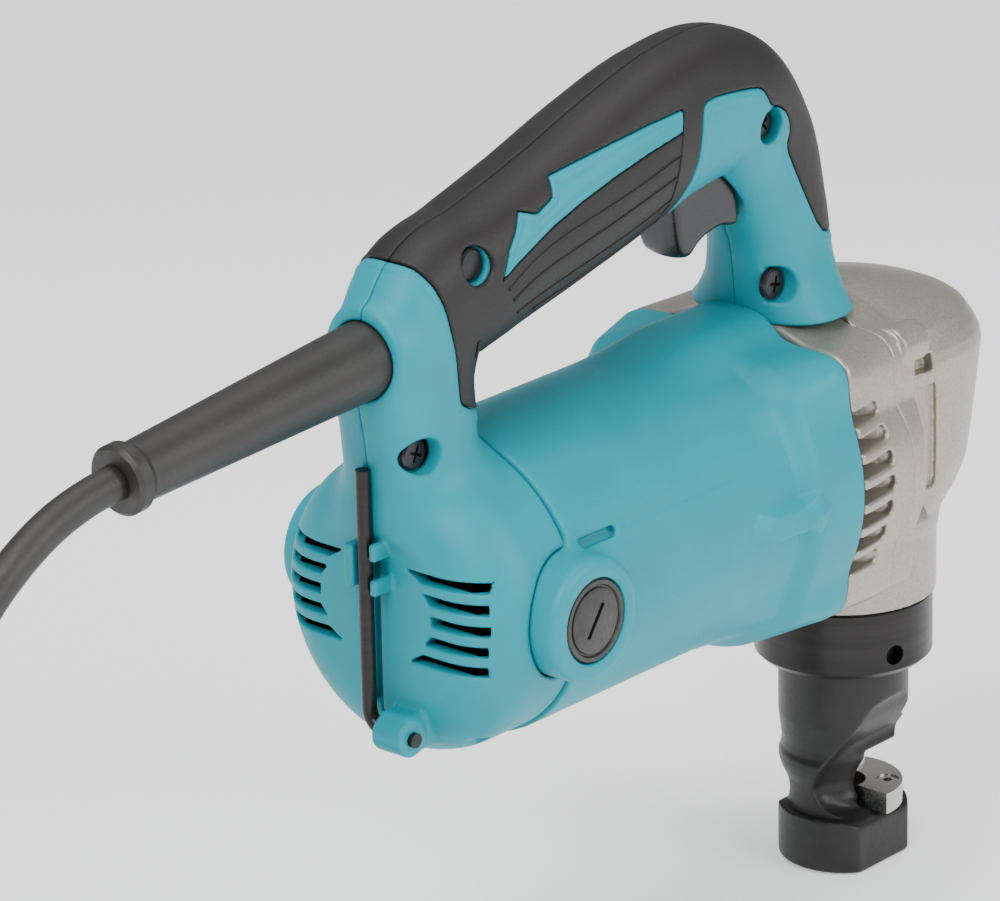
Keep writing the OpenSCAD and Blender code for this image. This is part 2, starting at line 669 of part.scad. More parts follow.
motor_housing();
handle_right();
handle_left();
grip_skin_right();
grip_skin_left();
bearing_box();
gear_housing();
housing_screws();
handle_screws();
lock_nut();
die_holder();
die();
die_screws();
punch();
plunger();
plunger_sleeve();
wrist_pin();
connecting_rod();
crankshaft();
crank_gear();
crank_bearing_rear();
crank_bearing_front();
layshaft();
mid_gear();
layshaft_bearings();
armature_shaft();
armature_core();
commutator();
fan();
armature_bearing_rear();
armature_bearing_front();
stator_core();
field_coils();
fan_baffle();
brush_holders();
carbon_brushes();
brush_springs();
brush_caps();
switch();
trigger();
lock_button();
cord_guard();
cord_clamp();
cord_clamp_screws();
hex_key();
cord();
cord_coil();
cord_tail();
cord_tie();
plug();
plug_pins();
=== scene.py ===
"""Electric nibbler: the visible pieces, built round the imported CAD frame.

Shapes are in millimetres: +Z up, the punch on the Z axis, the motor along -X, and -Y the side
that the camera sees. A large shell is a field, a function of x, y, z that is a signed distance,
negative inside. polygonise() turns it into a mesh and cut() hollows the mesh.
"""
import math

import bpy
import numpy as np
from mathutils import Matrix, Vector


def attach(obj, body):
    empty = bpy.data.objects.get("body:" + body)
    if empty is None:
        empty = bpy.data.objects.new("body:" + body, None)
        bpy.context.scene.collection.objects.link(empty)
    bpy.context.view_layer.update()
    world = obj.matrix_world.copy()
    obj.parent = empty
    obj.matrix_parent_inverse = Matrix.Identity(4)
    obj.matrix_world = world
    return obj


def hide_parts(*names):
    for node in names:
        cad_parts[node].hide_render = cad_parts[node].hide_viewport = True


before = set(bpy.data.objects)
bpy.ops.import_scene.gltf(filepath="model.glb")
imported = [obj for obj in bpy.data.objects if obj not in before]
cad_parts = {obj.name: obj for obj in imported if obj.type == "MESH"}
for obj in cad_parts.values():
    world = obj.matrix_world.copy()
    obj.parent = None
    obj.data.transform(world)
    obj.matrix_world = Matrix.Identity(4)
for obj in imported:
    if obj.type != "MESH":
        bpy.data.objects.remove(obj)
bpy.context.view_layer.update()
MM = 0.001
STEP_LARGE = 0.6    # grid step of the large shells, mm
STEP_SMALL = 0.5                           # and of the trigger and the die holder

# ---------------------------------------------------------------- camera
# place, axes and lens solved from the photograph's outline
CAM_AT = np.array((-1149.15, -897.65, 647.63)) * MM
CAM_AXES = ((0.65847, -0.75235, -0.01952), (0.2695, 0.2115, 0.93949), (-0.7027, -0.62389, 0.34202))
cam = bpy.data.objects.new("camera", bpy.data.cameras.new("camera"))
bpy.context.scene.collection.objects.link(cam)
cam.matrix_world = Matrix([[a[i] for a in CAM_AXES] + [CAM_AT[i]] for i in range(3)] + [[0, 0, 0, 1]])
cam.data.sensor_width = 36
cam.data.lens = 208.8
cam.data.clip_end = 20
bpy.context.scene.camera = cam


# ---------------------------------------------------------------- materials
def material(name, base, rough, scale=1500.0, bump=0.05, metal=0.0, vary=0.06, rough_vary=0.08,
             coarse=60.0, spec=0.5, stretch=None, fleck=None):
    """Procedural finish: fine grain bump, slow colour drift and varied roughness.

    scale and coarse are the noise scales of the grain and of the drift; fleck is the scale and
    strength of small lighter and darker cells.
    """
    m = bpy.data.materials.new(name)
    m.use_nodes = True
    nt = m.node_tree
    nd, ln = nt.nodes, nt.links
    sh = nd["Principled BSDF"]
    sh.inputs["Metallic"].default_value = metal
    sh.inputs["Specular IOR Level"].default_value = spec
    tc = nd.new("ShaderNodeTexCoord")
    mp = nd.new("ShaderNodeMapping")
    ln.new(tc.outputs["Object"], mp.inputs["Vector"])
    if stretch:
        mp.inputs["Scale"].default_value = stretch

    def noise(noise_scale, detail):
        n = nd.new("ShaderNodeTexNoise")
        n.inputs["Scale"].default_value = noise_scale
        n.inputs["Detail"].default_value = detail
        ln.new(mp.outputs["Vector"], n.inputs["Vector"])
        return n

    slow, fine = noise(coarse, 3.0), noise(scale, 2.0)
    ramp = nd.new("ShaderNodeValToRGB")
    dark, light = ramp.color_ramp.elements
    dark.position, light.position = 0.3, 0.7
    dark.color = [c * (1 - vary) for c in base] + [1]
    light.color = [min(1, c * (1 + vary)) for c in base] + [1]
    ln.new(slow.outputs["Fac"], ramp.inputs["Fac"])
    colour = ramp.outputs["Color"]
    if fleck:
        spots = nd.new("ShaderNodeTexVoronoi")
        spots.inputs["Scale"].default_value = fleck[0]
        ln.new(mp.outputs["Vector"], spots.inputs["Vector"])
        grey = nd.new("ShaderNodeSeparateColor")
        ln.new(spots.outputs["Color"], grey.inputs["Color"])
        fr = nd.new("ShaderNodeValToRGB")
        fr.color_ramp.elements[0].color = [1 - fleck[1]] * 3 + [1]
        fr.color_ramp.elements[1].color = [1 + fleck[1]] * 3 + [1]
        ln.new(grey.outputs["Red"], fr.inputs["Fac"])
        mix = nd.new("ShaderNodeMix")
        mix.data_type = "RGBA"
        mix.blend_type = "MULTIPLY"
        mix.inputs["Factor"].default_value = 1
        ln.new(colour, mix.inputs["A"])
        ln.new(fr.outputs["Color"], mix.inputs["B"])
        colour = mix.outputs["Result"]
    ln.new(colour, sh.inputs["Base Color"])
    rr = nd.new("ShaderNodeMapRange")
    rr.inputs["To Min"].default_value = max(0.02, rough - rough_vary)
    rr.inputs["To Max"].default_value = min(1, rough + rough_vary)
    ln.new(fine.outputs["Fac"], rr.inputs["Value"])
    ln.new(rr.outputs["Result"], sh.inputs["Roughness"])
    bp = nd.new("ShaderNodeBump")
    bp.inputs["Strength"].default_value = bump
    bp.inputs["Distance"].default_value = 0.5 * MM
    ln.new(fine.outputs["Fac"], bp.inputs["Height"])
    ln.new(bp.outputs["Normal"], sh.inputs["Normal"])
    return m


MAT = {name: material(name, *look, **more) for name, look, more in (
    # name, (base colour, roughness, grain scale, grain bump), the rest
    ("teal_plastic", ((0.0, 0.255, 0.315), 0.46, 1400, 0.10), dict(vary=0.05, spec=0.28)),
    ("black_elastomer", ((0.015, 0.0135, 0.013), 0.52, 1500, 0.16), dict(vary=0.12, spec=0.36)),
    ("silver_casting", ((0.365, 0.335, 0.285), 0.36, 1800, 0.07),
     dict(metal=0.65, vary=0.04, fleck=(2600.0, 0.13))),
    ("black_screw", ((0.03, 0.03, 0.032), 0.32, 900, 0.06), dict(metal=0.6, vary=0.2)),
    ("blackened_steel", ((0.020, 0.0185, 0.018), 0.34, 260, 0.10),
     dict(metal=0.6, vary=0.18, stretch=(0.25, 0.25, 9.0))),
    ("forged_black", ((0.014, 0.0125, 0.0125), 0.42, 700, 0.12), dict(metal=0.3, vary=0.25, coarse=120)),
    ("tool_steel", ((0.50, 0.48, 0.45), 0.28, 900, 0.05), dict(metal=1.0, vary=0.12)),
    ("machined_steel", ((0.42, 0.38, 0.34), 0.26, 500, 0.06),
     dict(metal=1.0, vary=0.15, stretch=(1, 1, 6))),
    ("bearing_steel", ((0.62, 0.62, 0.63), 0.2, 900, 0.02), dict(metal=1.0)),
    ("bronze", ((0.55, 0.36, 0.16), 0.35, 900, 0.05), dict(metal=1.0)),
    ("copper", ((0.62, 0.27, 0.13), 0.35, 900, 0.05), dict(metal=1.0)),
    ("carbon", ((0.03, 0.03, 0.03), 0.6, 900, 0.1), {}),
    ("black_plastic", ((0.010, 0.010, 0.011), 0.40, 1500, 0.08), dict(vary=0.15)),
    ("white_board", ((0.75, 0.74, 0.70), 0.6, 900, 0.05), {}),
    ("cord_rubber", ((0.020, 0.0185, 0.017), 0.50, 1100, 0.14), dict(vary=0.15)),
    ("plated_brass", ((0.70, 0.62, 0.42), 0.25, 900, 0.03), dict(metal=1.0)),
    ("worn_black", ((0.020, 0.019, 0.018), 0.42, 700, 0.16), dict(vary=0.35, coarse=220)),
    ("gloss_black", ((0.010, 0.010, 0.011), 0.30, 1600, 0.06), dict(vary=0.2)),
)}


# ---------------------------------------------------------------- mesh helpers
def piece(name, verts, faces, mat, body="housing", slot=None, scale=MM, angle=None):
    """Mesh object from points in mm, with its material, riding on a body; its slot is not used.

    An edge sharper than angle, in degrees, stays sharp; all else is shaded smooth.
    """
    me = bpy.data.meshes.new(name)
    v = np.asarray(verts, np.float32) * scale
    if isinstance(faces, np.ndarray):
        k = faces.shape[1]
        me.vertices.add(len(v))
        me.vertices.foreach_set("co", v.ravel())
        me.loops.add(faces.size)
        me.loops.foreach_set("vertex_index", faces.astype(np.int32).ravel())
        me.polygons.add(len(faces))
        me.polygons.foreach_set("loop_start", np.arange(0, faces.size, k, dtype=np.int32))
        me.update(calc_edges=True)
        me.validate()
    else:
        me.from_pydata([tuple(p) for p in v], [], [tuple(f) for f in faces])
    o = bpy.data.objects.new(name, me)
    bpy.context.scene.collection.objects.link(o)
    me.materials.append(MAT[mat])
    me.polygons.foreach_set("use_smooth", [True] * len(me.polygons))
    if angle is not None:
        me.set_sharp_from_angle(angle=math.radians(angle))
    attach(o, body)
    slot or mat
    return o


def smin(a, b, k):
    """Union of two fields with a fillet about k mm wide."""
    h = np.clip(0.5 + 0.5 * (b - a) / k, 0, 1)
    return b + (a - b) * h - k * h * (1 - h)


def smax(a, b, k):
    """What two fields share, with its edge rounded over about k mm."""
    return -smin(-a, -b, k)


def step(x, a, b):
    """Smooth step from 0 at a to 1 at b."""
    t = np.clip((x - a) / (b - a), 0, 1)
    return t * t * (3 - 2 * t)


BLOCK = 6                                  # cells along each side of a block
FAR_AWAY = 1e3                             # distance that stands for nowhere near
BLOCK_MARGIN = 0.87 * 1.35                 # half a block's diagonal, and some slack in the field
BLOCKS_AT_ONCE = 3000


def sampled(field, lo, n, h):
    """Field on the grid's points: exact in blocks near the surface, elsewhere only its sign."""
    axes = [lo[a] + (np.arange(n[a] // BLOCK) + 0.5) * BLOCK * h for a in range(3)]
    mid = field(*np.meshgrid(*axes, indexing="ij"))
    sign = np.where(mid < 0, -FAR_AWAY, FAR_AWAY).astype(np.float32)
    D = np.full(n + 1, FAR_AWAY, np.float32)
    D[:-1, :-1, :-1] = np.repeat(np.repeat(np.repeat(sign, BLOCK, 0), BLOCK, 1), BLOCK, 2)
    near = np.argwhere(np.abs(mid) < BLOCK * h * BLOCK_MARGIN + 1.0)
    r = np.arange(BLOCK + 1)
    for s in range(0, len(near), BLOCKS_AT_ONCE):
        b = near[s:s + BLOCKS_AT_ONCE] * BLOCK
        ix, iy, iz = np.broadcast_arrays(b[:, 0, None, None, None] + r[None, :, None, None],
                                         b[:, 1, None, None, None] + r[None, None, :, None],
                                         b[:, 2, None, None, None] + r[None, None, None, :])
        D[ix, iy, iz] = field(lo[0] + ix * h, lo[1] + iy * h, lo[2] + iz * h)
    return D


def on_surface(field, P, h):
    """Points moved on to the surface by two short Newton steps."""
    e = 0.12 * h
    for _ in range(2):
        f0 = field(P[:, 0], P[:, 1], P[:, 2])
        G = np.stack([field(P[:, 0] + e * (a == 0), P[:, 1] + e * (a == 1), P[:, 2] + e * (a == 2)) - f0
                      for a in range(3)], 1) / e
        move = -f0[:, None] * G / np.maximum((G * G).sum(1), 0.2)[:, None]
        size = np.linalg.norm(move, axis=1)
        P = P + move * np.minimum(1, 0.5 * h / np.maximum(size, 1e-9))[:, None]
    return P


def polygonise(field, lo, hi, h):
    """Surface nets of field < 0 inside the box lo..hi: one point in each cell that the surface
    crosses, and a quad round each grid edge that it crosses."""
    lo, hi = np.array(lo, float), np.array(hi, float)
    n = (np.ceil((hi - lo) / h / BLOCK).astype(int)) * BLOCK
    D = sampled(field, lo, n, h)
    inside = D < 0
    corners = [(i, j, k) for i in (0, 1) for j in (0, 1) for k in (0, 1)]
    count = np.zeros(n, np.uint8)
    for i, j, k in corners:
        count += inside[i:n[0] + i, j:n[1] + j, k:n[2] + k]
    crossed = (count > 0) & (count < 8)
    cells = np.argwhere(crossed)
    point_of = np.full(n, -1, np.int64)
    point_of[crossed] = np.arange(len(cells))
    V = np.stack([D[cells[:, 0] + i, cells[:, 1] + j, cells[:, 2] + k] for i, j, k in corners], 1)
    V = np.clip(V, -2 * h, 2 * h)
    cor = np.array(corners, float)
    total, crossings = np.zeros((len(cells), 3)), np.zeros(len(cells))
    for a in range(8):
        for b in range(a + 1, 8):
            if abs(cor[a] - cor[b]).sum() == 1:
                va, vb = V[:, a], V[:, b]
                m = (va < 0) != (vb < 0)
                t = np.where(m, va / np.where(m, va - vb, 1), 0)
                total += m[:, None] * (cor[a] + t[:, None] * (cor[b] - cor[a]))
                crossings += m
    P = on_surface(field, lo + (cells + total / crossings[:, None]) * h, h)
    quads = []
    for a in range(3):
        o1, o2 = [(1, 2), (2, 0), (0, 1)][a]
        near, far = [slice(1, -1)] * 3, [slice(1, -1)] * 3
        near[a], far[a] = slice(0, -1), slice(1, None)
        s0, s1 = inside[tuple(near)], inside[tuple(far)]
        edges = np.argwhere(s0 != s1)
        flip = s1[edges[:, 0], edges[:, 1], edges[:, 2]]
        base = edges + 1
        base[:, a] -= 1
        q = []
        for d1, d2 in ((-1, -1), (0, -1), (0, 0), (-1, 0)):
            cell = base.copy()
            cell[:, o1] += d1
            cell[:, o2] += d2
            q.append(point_of[cell[:, 0], cell[:, 1], cell[:, 2]])
        q = np.stack(q, 1)
        q[flip] = q[flip][:, ::-1]
        quads.append(q)
    F = np.concatenate(quads)
    return P, F[(F >= 0).all(1)]


def shell(name, field, lo, hi, h, mat, body="housing", slot=None, keep=None):
    """Piece from a field; keep is the share of its faces that the first cut leaves."""
    o = piece(name, *polygonise(field, lo, hi, h), mat, body, slot)
    if keep:
        o.modifiers.new("thin", "DECIMATE").ratio = keep
    return o


def loft(rings):
    """Points and faces of a capped solid through rings of equal length."""
    n, m = len(rings[0]), len(rings)
    v = [p for r in rings for p in r]
    f = [(i * n + j, i * n + (j + 1) % n, (i + 1) * n + (j + 1) % n, (i + 1) * n + j)
         for i in range(m - 1) for j in range(n)]
    return v, f + [tuple(range(n - 1, -1, -1)), tuple((m - 1) * n + j for j in range(n))]


def sweep(path, radius, n=12, up=(0, 1, 0)):
    """Round bar of that radius along points in mm."""
    P = np.asarray(path, float)
    T = np.gradient(P, axis=0)
    T /= np.linalg.norm(T, axis=1)[:, None]
    a = np.linspace(0, 2 * math.pi, n, endpoint=False)
    u = np.cross(T[0], up)
    u = u / np.linalg.norm(u)
    rings = []
    for p, t in zip(P, T):
        u = u - t * (u @ t)
        u /= np.linalg.norm(u)
        w = np.cross(t, u)
        rings.append(p + radius * (np.cos(a)[:, None] * u + np.sin(a)[:, None] * w))
    return loft([list(map(tuple, r)) for r in rings])


def turned(profile, axis="z", at=(0, 0, 0), n=96):
    """Solid of revolution: profile is (radius, height) pairs, in mm."""
    rings = []
    a = np.linspace(0, 2 * math.pi, n, endpoint=False)
    for r, z in profile:
        x, y, w = r * np.cos(a), r * np.sin(a), np.full(n, float(z))
        q = {"z": (x, y, w), "x": (w, x, y), "y": (y, w, x)}[axis]
        rings.append([(q[0][i] + at[0], q[1][i] + at[1], q[2][i] + at[2]) for i in range(n)])
    return loft(rings)


BOX_FACES = [(0, 1, 3, 2), (4, 6, 7, 5), (0, 4, 5, 1), (2, 3, 7, 6), (0, 2, 6, 4), (1, 5, 7, 3)]


def block(lo, hi):
    """Box between two corners."""
    return [(x, y, z) for x in (lo[0], hi[0]) for y in (lo[1], hi[1]) for z in (lo[2], hi[2])], BOX_FACES


def joined(*parts):
    """Several lots of points and faces as one."""
    v, f = [], []
    for pv, pf in parts:
        f += [tuple(i + len(v) for i in q) for q in pf]
        v += [tuple(p) for p in pv]
    return v, f


def cut(target, verts, faces):
    """Takes a simple shape away from a piece. Its modifiers are applied by this, so none stays."""
    me = bpy.data.meshes.new("cutter")
    me.from_pydata([tuple(np.asarray(p) * MM) for p in verts], [], [tuple(q) for q in faces])
    me.update()
    cutter = bpy.data.objects.new("cutter", me)
    bpy.context.scene.collection.objects.link(cutter)
    for solver in ("MANIFOLD", "EXACT"):
        before = len(target.data.polygons)
        md = target.modifiers.new("cut", "BOOLEAN")
        md.operation = "DIFFERENCE"
        md.solver = solver
        md.object = cutter
        dg = bpy.context.evaluated_depsgraph_get()
        new = bpy.data.meshes.new_from_object(target.evaluated_get(dg))
        target.modifiers.remove(md)
        if 0 < len(new.polygons) != before:
            old = target.data
            target.data = new
            bpy.data.meshes.remove(old)
            new.name = target.name
            target.modifiers.clear()
            break
        print("CUT", solver, "left", target.name, "unchanged")
        bpy.data.meshes.remove(new)
    bpy.data.objects.remove(cutter)
    bpy.data.meshes.remove(me)


# ---------------------------------------------------------------- cord
CORD_D = 9.0
# from the strain relief down to the floor, and after the coil on to the plug
ROUTE = [(-271.7, 0, 186), (-282, 0, 184.6), (-293, 0, 181.5), (-304, 0, 176), (-315, 0, 168),
         (-325, 0, 157), (-333, 0, 144), (-338.5, 0, 129), (-341.5, 0, 113), (-342.5, 0, 96),
         (-341.5, -1, 79), (-338, -3, 62), (-331, -6.5, 46), (-321, -10.5, 32), (-309, -14, 20.5),
         (-297, -17.2, 12), (-286, -19.4, 6.8), (-275, -20.6, 4.6), (-263, -21, 4.5)]
TAIL = [(-241, -21, 13.5), (-229, -20.8, 13.5), (-214, -19.8, 13.2), (-199, -18.6, 12.5), (-184, -18, 12)]
COIL = (-252.0, 42.0)                      # middle of the coil
TURNS = 3                                  # turns in each of the two layers
COIL_R = 63.0                              # middle of the outermost turn
PER_TURN = 24                              # points in each turn


def coil_points():
    """Spiral inwards on the floor, then outwards again on top of itself."""
    pts = []
    for k in range(2 * TURNS * PER_TURN + 1):
        t = k / PER_TURN
        a = -math.pi / 2 + 2 * math.pi * t
        r = COIL_R - CORD_D * (TURNS - abs(t - TURNS))
        up = min(1, max(0, (t - TURNS + 0.25) / 0.5))     # climbs in half a turn
        z = CORD_D * (0.5 + up * up * (3 - 2 * up))
        pts.append((COIL[0] + r * math.cos(a), COIL[1] + r * math.sin(a), z))
    return pts


def smooth_path(P, steps=6):
    """Catmull-Rom through the points."""
    P = [np.array(p, float) for p in P]
    out = []
    for i in range(len(P) - 1):
        a = P[max(i - 1, 0)] if i else 2 * P[0] - P[1]
        b, c = P[i], P[i + 1]
        d = P[i + 2] if i + 2 < len(P) else 2 * P[-1] - P[-2]
        for s in range(steps):
            t = s / steps
            out.append(0.5 * (2 * b + (c - a) * t + (2 * a - 5 * b + 4 * c - d) * t * t
                              + (3 * b - a - 3 * c + d) * t ** 3))
    out.append(P[-1])
    return np.array(out)


cord_line = smooth_path(ROUTE + coil_points() + TAIL, 4)
v, f = sweep(cord_line, CORD_D / 2, 16)
cord = piece("mains_cord", v, f, "cord_rubber")
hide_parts("cord", "cord_coil", "cord_tail")

# ---------------------------------------------------------------- motor housing
MZ = 125.7                                 # height of the motor axis
SHAFT_Z = 144.9                            # height of the layshaft's axis
BRUSH = (-155.0, 126.4)                    # x, z of the brush caps
CAP_R = 10.8
BARREL_R = 39.65
ANGLE = np.radians(np.arange(0, 180.5, 0.5))   # from the top; both sides are alike


def blurred(table, blur, mode):
    """Table smoothed by a bell curve that is blur entries wide."""
    w = np.exp(-0.5 * (np.arange(-3 * blur, 3 * blur + 1) / blur) ** 2)
    return np.convolve(np.pad(table, 3 * blur, mode=mode), w / w.sum(), mode="valid")


def eased(angles, values, blur=5):
    """Table over ANGLE, from values at angles in degrees, with its corners rounded off."""
    return blurred(np.interp(ANGLE, np.radians(angles), values), blur, "reflect")


# how far the flare at the front stands out of the round: above, below, and its squarish end
TOP_RISE = eased([0, 12, 18.7, 26, 32, 37, 42.4, 46.6, 50.9, 56.5, 62, 72, 84, 180],
                 [1.2, 0.4, -0.8, -0.3, 0.2, 3.0, 6.0, 7.0, 5.4, 2.3, 0.9, 0.3, 0, 0])
LOW_RISE = eased([0, 105, 114, 120, 125, 131, 136, 140, 148, 155, 163, 180],
                 [0, 0, 0.3, 0.4, 2.6, 5.7, 5.5, 4.2, 3.3, 3.4, 3.9, 4.2])
BOX_R = eased([0, 30, 43, 48, 63, 85, 104, 120, 133, 136, 150, 180],
              [41.6, 42.5, 48.4, 47.6, 40.2, 40.4, 40.9, 41.3, 47.8, 48.4, 44, 42], 4)


def polar(x, y, z):
    """Distance from the motor's axis, and the angle from the top."""
    return np.hypot(y, z - MZ), np.arctan2(np.abs(y), z - MZ)


def front_radius(phi):
    """Outline of the casting that joins the motor and the gear head, by angle from the top."""
    return 42.6 + np.interp(phi, ANGLE, TOP_RISE) + np.interp(phi, ANGLE, LOW_RISE)


def motor_radius(x, y, z):
    """Distance from the motor's axis, and the radius of the housing in that direction."""
    r, phi = polar(x, y, z)
    deg = np.degrees(phi)
    R = BARREL_R + 0 * x
    # band at the front, and the raised top behind it
    R = R + 2.95 * step(x, -69.5, -61.5) * step(deg, 18, 34)
    R = R + 4.15 * step(x, -99, -69) * (1 - step(deg, 8, 30))
    # flare, above and below
    R = R + np.interp(phi, ANGLE, TOP_RISE) * np.clip((x + 77) / 29, 0, 1) ** 1.15 * step(deg, 16, 24)
    R = R + np.interp(phi, ANGLE, LOW_RISE) * np.clip((x + 89) / 38, 0, 1) ** 1.1
    # long boss in front of the flare, blunt at the front and pointed at the back
    u, w = (x + 74) / 12.5, (deg - 88.5) / 6.2
    wedge = 1.25 - np.maximum(np.abs(u) * 1.05 + 0.25 * np.abs(w), np.abs(w))
    R = R + 2.6 * np.clip(wedge, 0, 0.55) / 0.55 * (1 - step(x, -60, -50)) * (x > -100)
    # shallow crease that runs forward from the slot
    d = np.abs(deg - 64.6) * 0.69
    R = R - 0.35 * np.exp(-(d / 0.9) ** 2) * step(x, -136, -132) * (1 - step(x, -92, -76)) * (y < 0)
    return r, R


def box_sdf(x, y, z, lo, hi, r=0.0):
    """Signed distance to a box between two corners, its edges rounded to radius r."""
    c = [(a + b) / 2 for a, b in zip(lo, hi)]
    e = [(b - a) / 2 - r for a, b in zip(lo, hi)]
    q = [np.abs(p - m) - w for p, m, w in zip((x, y, z), c, e)]
    out = np.sqrt(sum(np.maximum(t, 0) ** 2 for t in q))
    return out + np.minimum(np.maximum(np.maximum(q[0], q[1]), q[2]), 0) - r


def motor_field(x, y, z):
    """Motor housing: a barrel with a flared front, open at both ends once it is hollow."""
    r, R = motor_radius(x, y, z)
    d = (r - R) * 0.97
    d = smax(d, -153.4 - x, 0.9)
    # round bosses on both sides that the brush caps screw into
    from_cap = np.hypot(x - BRUSH[0], z - BRUSH[1])
    boss = np.maximum(smax(from_cap - 16.0, np.abs(y) - 45.4, 3.0), 22 - np.abs(y))
    d = smin(d, boss, 3.2)
    d = smax(d, x + 45.12, 1.0)
    # seat of the brush cap
    q = from_cap - CAP_R - 0.15
    d = smax(d, -smax(q, 39 - np.abs(y), 0.4), 0.7)
    # slot above the boss, and a small drain notch below it
    deg = np.degrees(np.arctan2(np.abs(y), z - MZ))
    slot = np.hypot(np.maximum(0, np.abs(x + 143.3) - 5.6), (deg - 64.9) * 0.69) - 1.5
    d = smax(d, -np.maximum(slot, 37.4 - r), 0.5)
    return smax(d, -box_sdf(x, np.abs(y), z, (-140.2, 36.2, 109.6), (-137.6, 50, 110.9), 0.4), 0.5)


motor = shell("motor_housing.shell", motor_field, (-173, -47, 76), (-43, 47, 172), STEP_LARGE,
              "teal_plastic", keep=0.75)
cut(motor, *turned([(36.8, -154), (36.8, -44)], "x", (0, 0, MZ), 72))
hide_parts("motor_housing")

# ---------------------------------------------------------------- grip and rear cover
# middle line of the grip from the rear leg over the top to the foot: x, z, half height, half width
GRIP = np.array([
    (-170.5, 156, 15.4, 15), (-171.4, 172, 16.0, 15.2), (-172.2, 187, 17.0, 15.2),
    (-165.9, 200.6, 18.7, 15), (-149.1, 205.9, 17.8, 16.4), (-124.3, 212.4, 18.5, 17),
    (-99.4, 219.6, 19.7, 17), (-75.7, 225.8, 19.8, 16.6), (-54.4, 226.0, 19.6, 16),
    (-39.8, 210.9, 18.4, 14), (-32.9, 192.5, 16.2, 13.8), (-31.0, 177, 15.4, 16),
    (-30.4, 165.6, 15.2, 22.5)])
grip_line = smooth_path(list(GRIP), 24)
grip_line = np.concatenate([[grip_line[0] - (grip_line[1] - grip_line[0]) * 14], grip_line,
                            [grip_line[-1] + (grip_line[-1] - grip_line[-2]) * 8]])
# side view rasters of the grip, sampled by sample()
GX, GZ, GH = (-214.0, 6.0), (140.0, 262.0), 0.5
gx = np.arange(GX[0], GX[1] + GH, GH)
gz = np.arange(GZ[0], GZ[1] + GH, GH)


def raster_grip():
    """Signed distance outwards from the middle line of the grip, and the half sizes there."""
    P = np.stack(np.meshgrid(gx, gz, indexing="ij"), -1).reshape(-1, 2)
    best = np.full(len(P), 1e9)
    out = np.zeros((len(P), 3))
    for a, b in zip(grip_line[:-1], grip_line[1:]):
        e = b[:2] - a[:2]
        t = np.clip(((P - a[:2]) @ e) / (e @ e), 0, 1)
        q = P - (a[:2] + t[:, None] * e)
        d = np.hypot(q[:, 0], q[:, 1])
        side = np.where(q[:, 0] * -e[1] + q[:, 1] * e[0] > 0, 1, -1)
        m = d < best
        best[m] = d[m]
        out[m, 0] = (d * side)[m]
        out[m, 1:] = (a[2:] + t[:, None] * (b - a)[2:])[m]
    return [out[:, i].reshape(len(gx), len(gz)) for i in range(3)]


def sample(grid, x, z):
    """Value of a raster at x, z, between its points."""
    u = np.clip((x - GX[0]) / GH, 0, len(gx) - 1.001)
    w = np.clip((z - GZ[0]) / GH, 0, len(gz) - 1.001)
    i, j = u.astype(int), w.astype(int)
    u, w = u - i, w - j
    return (grid[i, j] * (1 - u) * (1 - w) + grid[i + 1, j] * u * (1 - w)
            + grid[i, j + 1] * (1 - u) * w + grid[i + 1, j + 1] * u * w)


G_N, G_A, G_B = raster_grip()              # distance from the line, half height, half width


def outline_sdf(u, w, pts):
    """Signed distance of (u, w) to a closed outline, negative inside."""
    Q = np.array(pts, float)
    d = np.full(np.shape(u), 1e9)
    inside = np.zeros(np.shape(u), bool)
    for a, b in zip(Q, np.roll(Q, -1, 0)):
        e = b - a
        t = np.clip(((u - a[0]) * e[0] + (w - a[1]) * e[1]) / (e @ e), 0, 1)
        d = np.minimum(d, np.hypot(u - a[0] - t * e[0], w - a[1] - t * e[1]))
        if a[1] != b[1]:
            m = (w >= min(a[1], b[1])) & (w < max(a[1], b[1]))
            inside ^= m & (u < a[0] + (w - a[1]) / (b[1] - a[1]) * e[0])
    return np.where(inside, -1, 1) * d


def rounded(pts, k):
    """Closed outline with its corners cut k times (Chaikin)."""
    P = np.array(pts, float)
    for _ in range(k):
        N = np.roll(P, -1, 0)
        P = np.stack([0.75 * P + 0.25 * N, 0.25 * P + 0.75 * N], 1).reshape(-1, 2)
    return P


def grip_field(x, y, z):
    """Grip with a section between an ellipse and a box."""
    n, a, b = sample(G_N, x, z), sample(G_A, x, z), sample(G_B, x, z)
    q = (np.abs(n / a) ** 2.5 + np.abs(y / b) ** 2.5 + 1e-12) ** 0.4
    return (q - 1) * np.minimum(a, b) * 0.95


SKIN = 1.9                                 # thickness of the rubber
SKIN_GAP = 0.14                            # between the rubber and the teal plastic round it
# outline of the rubber in side view, and of the teal bar inside it
BLACK = rounded([(-177.2, 216.6), (-173.4, 208), (-170.9, 197), (-169.5, 188), (-169, 181), (-168, 178.7),
                 (-160, 175.2), (-146, 169), (-146, 185), (-96, 185), (-90.2, 199), (-84.8, 207),
                 (-79.6, 218), (-78, 226.5), (-77.1, 232.3), (-74.3, 234), (-66, 233.8), (-55, 232.6),
                 (-52, 231), (-49, 225.9), (-46, 225.6), (-41.6, 222.6), (-39.9, 218), (-41.6, 213.6),
                 (-37.8, 206.9), (-33, 198.3), (-27.3, 187.6), (-22.5, 185.6), (-8, 184.5), (-8, 258),
                 (-196, 258), (-196, 222)], 1)
STRIPE = [(-153.6, 206.9), (-150.3, 213.8), (-146.9, 217.3), (-143.4, 221.4), (-138.7, 219.9),
          (-132.6, 222.4), (-130.2, 226.7), (-120.8, 228.6), (-109.5, 230.6), (-97, 232.4), (-84.3, 233.6),
          (-85.4, 228.2), (-98.5, 225.9), (-112.1, 222.9), (-124.3, 219.6), (-134.7, 216.2),
          (-142.9, 212.6), (-148.7, 209.9)]
